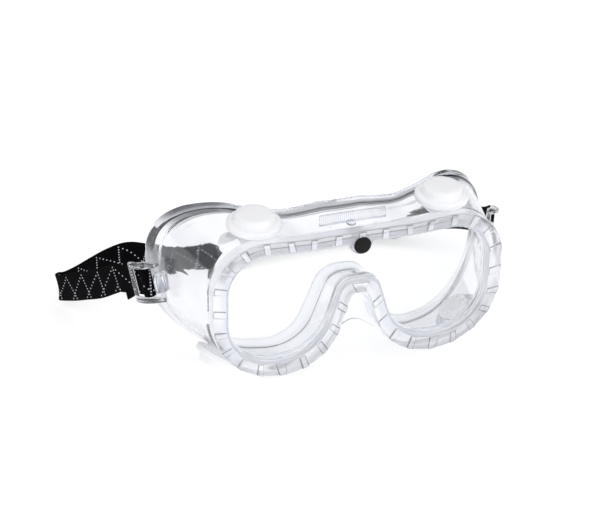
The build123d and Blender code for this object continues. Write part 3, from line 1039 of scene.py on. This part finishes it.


# how dark the vinyl is painted where it stands for dark reflections and shade, from 0 to 1
CREASE_DARK = 0.75  # where the shell meets the flange
EDGE_DARK = 0.75  # the flange's edge
TEMPLE_DARK = 0.9
HOLLOW_DARK = 0.42  # the rim's front between ribs
WALL_DARK = 0.72  # the ribs' flanks
CORNER_DARK = 0.3  # the rim's rounded edge
REFLECTED_STREAK_DARK = 0.5  # painted reflections of dark surroundings, as streaks on the brow


def painted_edge_shade(tree):
    """Where the vinyl is painted dark for reflections and shade; the numbers here are places on the body, in
    metres.
    """
    x, y, z, layer = body_places(tree)
    high = smooth(tree, z, 0.008, 0.016)
    temple = product(tree, smooth(tree, z, 0.010, 0.018), smooth(tree, layer, 0.0042, 0.0022),
                     smooth(tree, maths(tree, "ABSOLUTE", x), 0.050, 0.060),
                     smooth(tree, object_noise(tree, 45.0, 1.0), 0.35, 0.5), TEMPLE_DARK)
    reflected_streak = smooth(tree, object_noise(tree, 30.0, 1.0, (0.9, 2.2, 2.2)), 0.585, 0.605)
    shades = [
        product(tree, high, between(tree, layer, 0.0044, 0.0048, 0.0054, 0.0058), CREASE_DARK),
        temple,
        product(tree, high, smooth(tree, layer, 0.0009, 0.0004), EDGE_DARK),
        product(tree, between(tree, y, -0.0034, -0.0031, -0.0029, -0.0027), smooth(tree, z, 0.006, 0.014),
                HOLLOW_DARK),
        product(tree, between(tree, y, -0.0036, -0.0035, -0.00312, -0.00304), WALL_DARK),
        product(tree, between(tree, y, -0.0029, -0.0027, -0.0021, -0.0019), CORNER_DARK),
        product(tree, smooth(tree, z, 0.013, 0.016), smooth(tree, layer, 0.009, 0.012),
                smooth(tree, y, 0.006, 0.009), reflected_streak, REFLECTED_STREAK_DARK),
    ]
    return reduce(partial(maths, tree, "MAXIMUM"), shades)


WHITE = (1, 1, 1, 1)
RIM_GLOW = 0.03  # stands for the light that scatters inside the thick rim
RIM_MATT = 0.5  # how matt the rim is next to the flange
VINYL_ROUGHNESS = 0.04
MATT_ROUGHNESS = 0.32  # what matt vinyl adds to it
VINYL_CLEAR = 0.96
RIM_MILK = 0.27  # how much less clear the rim is


def moulded_vinyl():
    """Soft clear vinyl: a little cloudy, faintly violet, with a slow ripple left by the mould."""
    material, tree, shader = new_material("clear_vinyl", clear=True, Base_Color=(0.94, 0.945, 0.965, 1),
                                          IOR=1.37)
    cloud = ramp(tree, object_noise(tree, 60.0), 0.3, 0.7, (0.90, 0.912, 0.955), (0.95, 0.957, 0.985))
    rim, flange = matt_shares(tree)
    matt = maths(tree, "MAXIMUM", product(tree, rim, RIM_MATT), flange)
    # painted reflections and shade: the base colour goes towards near black where the edge mask is 1
    feed(tree, shader, Base_Color=mixed(tree, painted_edge_shade(tree), cloud, (0.07, 0.075, 0.09, 1)),
         Roughness=maths(tree, "MULTIPLY_ADD", matt, MATT_ROUGHNESS, VINYL_ROUGHNESS),
         Transmission_Weight=maths(tree, "MULTIPLY_ADD", rim, -RIM_MILK, VINYL_CLEAR),
         Emission_Color=WHITE, Emission_Strength=product(tree, rim, RIM_GLOW))
    bumpy(tree, shader, object_noise(tree, 110.0, 2.0), 0.0006, 0.14)
    return material


def polished_lens():
    material, tree, shader = new_material("clear_lens", clear=True, Base_Color=(0.985, 0.99, 0.995, 1),
                                          IOR=1.3)
    feed(tree, shader, Roughness=maths(tree, "MULTIPLY", object_noise(tree, 35.0, 4.0), 0.03))
    return material


MILKY_GLOW = 0.1  # stands for the light that scatters inside the milky moulding


def milky_plastic():
    material, tree, shader = new_material(
        "milky_plastic", Roughness=0.34, Transmission_Weight=0.2, IOR=1.35, Coat_Weight=0.15,
        Emission_Color=(0.97, 0.97, 1.0, 1), Emission_Strength=MILKY_GLOW)
    feed(tree, shader, Base_Color=ramp(tree, object_noise(tree, 90.0), 0.3, 0.7, (0.955, 0.955, 0.975),
                                       (0.985, 0.985, 0.995)))
    bumpy(tree, shader, object_noise(tree, 900.0), 0.00015, 0.4)
    return material


def clip_plastic():
    material, tree, shader = new_material("clear_clip", clear=True, Base_Color=(0.8, 0.81, 0.84, 1),
                                          Roughness=0.05, IOR=1.47)
    feed(tree, shader, Transmission_Weight=0.93)
    bumpy(tree, shader, object_noise(tree, 220.0, 2.0), 0.0004, 0.4)
    return material


def black_plastic():
    material, tree, shader = new_material("black_plastic", Roughness=0.5, Specular_IOR_Level=0.2)
    grain = object_noise(tree, 1400.0)
    feed(tree, shader, Base_Color=ramp(tree, grain, 0.3, 0.7, (0.003, 0.003, 0.0035), (0.009, 0.009, 0.01)))
    bumpy(tree, shader, grain, 0.0001, 0.5)
    return material


STITCH_PITCH = 14.0  # distance along the strap between the zigzag's points, in millimetres
STITCH_REACH = 6.0  # how far the zigzag goes to each side of the middle
STITCH_LEAN = 1.6  # how far the straight run of stitches leans along the strap
STITCH_DOT = 0.38  # a stitch's radius
STITCHES = 8
SLANT = STITCH_PITCH * 1.25  # how far the slanted run goes back along the strap
WEFT_PITCH = 0.75
WARP_PITCH = 0.6


def woven_strap():
    """Black elastic with a dotted white zigzag: stitches straight across, then slanting to the next."""
    material, tree, shader = new_material("strap_webbing", Roughness=0.85, Specular_IOR_Level=0.06)
    calc = partial(maths, tree)
    place = node(tree, "ShaderNodeUVMap")
    place.uv_map = "weave"
    split = node(tree, "ShaderNodeSeparateXYZ", Vector=place.outputs[0])
    along, across = (calc("MULTIPLY", axis, 1 / (MM * WEAVE_SCALE)) for axis in split.outputs[:2])
    share = calc("MULTIPLY_ADD", across, 0.5 / STITCH_REACH, 0.5)
    step = calc("DIVIDE", calc("ROUND", calc("MULTIPLY", share, STITCHES)), STITCHES)
    step = calc("MINIMUM", calc("MAXIMUM", step, 0.0), 1.0)
    off_across = calc("MULTIPLY", calc("SUBTRACT", share, step), 2 * STITCH_REACH)
    ahead = calc("ADD", along, 10 * STITCH_PITCH)  # some way along, so that it is never negative
    dots = []
    for start, reach in ((0.0, STITCH_LEAN), (SLANT, STITCH_LEAN - SLANT)):
        line = calc("MULTIPLY_ADD", step, reach, start)
        off_along = calc("PINGPONG", calc("SUBTRACT", ahead, line), STITCH_PITCH / 2)
        squares = [calc("POWER", off, 2.0) for off in (off_along, off_across)]
        dots.append(calc("LESS_THAN", calc("SQRT", calc("ADD", *squares)), STITCH_DOT))
    stitch = calc("MAXIMUM", *dots)
    weft = calc("SINE", calc("MULTIPLY", along, 2 * pi / WEFT_PITCH))
    warp = calc("SINE", calc("MULTIPLY", across, 2 * pi / WARP_PITCH))
    thread = calc("MULTIPLY_ADD", calc("MULTIPLY", weft, warp), 0.5, 0.5)
    dark = ramp(tree, thread, 0.2, 0.9, (0.0006, 0.0006, 0.0009), (0.0035, 0.0035, 0.0045))
    feed(tree, shader, Base_Color=mixed(tree, stitch, dark, (0.62, 0.64, 0.72, 1)))
    bumpy(tree, shader, calc("ADD", thread, calc("MULTIPLY", stitch, 1.5)), 0.00025, 0.7)
    return material


FINISHES = {
    "body_vinyl": moulded_vinyl(),
    "lens_clear": polished_lens(),
    "clip_clear": clip_plastic(),
    "vent_milky": milky_plastic(),
    "stud_black": black_plastic(),
    "strap_elastic": woven_strap(),
}
SLOTS = {  # what the pieces' names start with
    "goggle_body": "body_vinyl",
    "brow_panel": "body_vinyl",
    "gate_mark": "body_vinyl",
    "lens_sheet": "lens_clear",
    "brow_stud_head": "stud_black",
    "brow_stud_shank": "clip_clear",
    "stud_washer_": "clip_clear",
    "vent_": "vent_milky",
    "strap_clip_": "clip_clear",
    "strap_end_": "strap_elastic",
    "strap_band_": "strap_elastic",
}


def give(piece, material):
    piece.data.materials.clear()
    piece.data.materials.append(material)


for node_name, piece in frame["nodes"].items():
    slot = next(part["material_slot"] for part in frame["record"]["subparts"] if part["node"] == node_name)
    give(piece, FINISHES[slot])
cad_pieces = frame["nodes"].values()
for start, slot in SLOTS.items():
    for piece in scene.objects:
        if piece.type == "MESH" and piece.name.startswith(start) and piece not in cad_pieces:
            give(piece, FINISHES[slot])


# ------------------------------ stage, lights and camera

FLOOR_GAP = 0.00005
FLOOR_SIZE = 3.4
FLOOR_GLOW = 0.7
STUDIO_LIGHT = 1.02
DARK_BACK = 0.02  # a dark curtain behind the object, from the floor's far edge up, which its edges mirror


def floor():
    lowest = cad_box[0].z - FLOOR_GAP
    bpy.ops.mesh.primitive_plane_add(size=FLOOR_SIZE, location=(0, 0, lowest))
    plane = bpy.context.active_object
    plane.name = "studio_floor"
    material, _, _ = new_material("floor_paper", Base_Color=(0.45, 0.45, 0.455, 1), Roughness=0.9,
                                  Specular_IOR_Level=0.0, Emission_Color=WHITE, Emission_Strength=FLOOR_GLOW)
    plane.data.materials.append(material)


def world_light():
    world = bpy.data.worlds.new("studio")
    scene.world = world
    world.use_nodes = True
    tree = world.node_tree
    tree.nodes.clear()
    _, y, z = coordinates(tree, "Generated")
    curtain = product(tree, smooth(tree, y, -0.42, -0.05), between(tree, z, 0.01, 0.05, 0.5, 0.67))
    strength = maths(tree, "MULTIPLY_ADD", curtain, DARK_BACK - STUDIO_LIGHT, STUDIO_LIGHT)
    background = node(tree, "ShaderNodeBackground", Color=(0.99, 0.995, 1, 1), Strength=strength)
    node(tree, "ShaderNodeOutputWorld", Surface=background.outputs[0])


CAMERA_AT = (-0.3292, -0.7656, 0.4364)
CAMERA_AZIMUTH = radians(-21.30)
CAMERA_ELEVATION = radians(27.45)
CAMERA_ROLL = radians(1.11)
CAMERA_LENS = 118.0
CAMERA_SENSOR = 36


def add_camera():
    az, el, roll = CAMERA_AZIMUTH, CAMERA_ELEVATION, CAMERA_ROLL
    right = Vector((cos(az), sin(az), 0))
    back = Vector((sin(az) * cos(el), -cos(az) * cos(el), sin(el)))
    up = back.cross(right)
    turned_right = right * cos(roll) + up * sin(roll)
    turned_up = up * cos(roll) - right * sin(roll)
    data = bpy.data.cameras.new("camera")
    data.lens = CAMERA_LENS
    data.sensor_width = CAMERA_SENSOR
    data.sensor_fit = "HORIZONTAL"
    data.clip_start = 0.01
    camera = bpy.data.objects.new("camera", data)
    scene.collection.objects.link(camera)
    axes = Matrix((turned_right, turned_up, back)).transposed().to_4x4()
    camera.matrix_world = Matrix.Translation(CAMERA_AT) @ axes
    scene.camera = camera


floor()
world_light()
add_camera()
scene.view_settings.view_transform = "Standard"
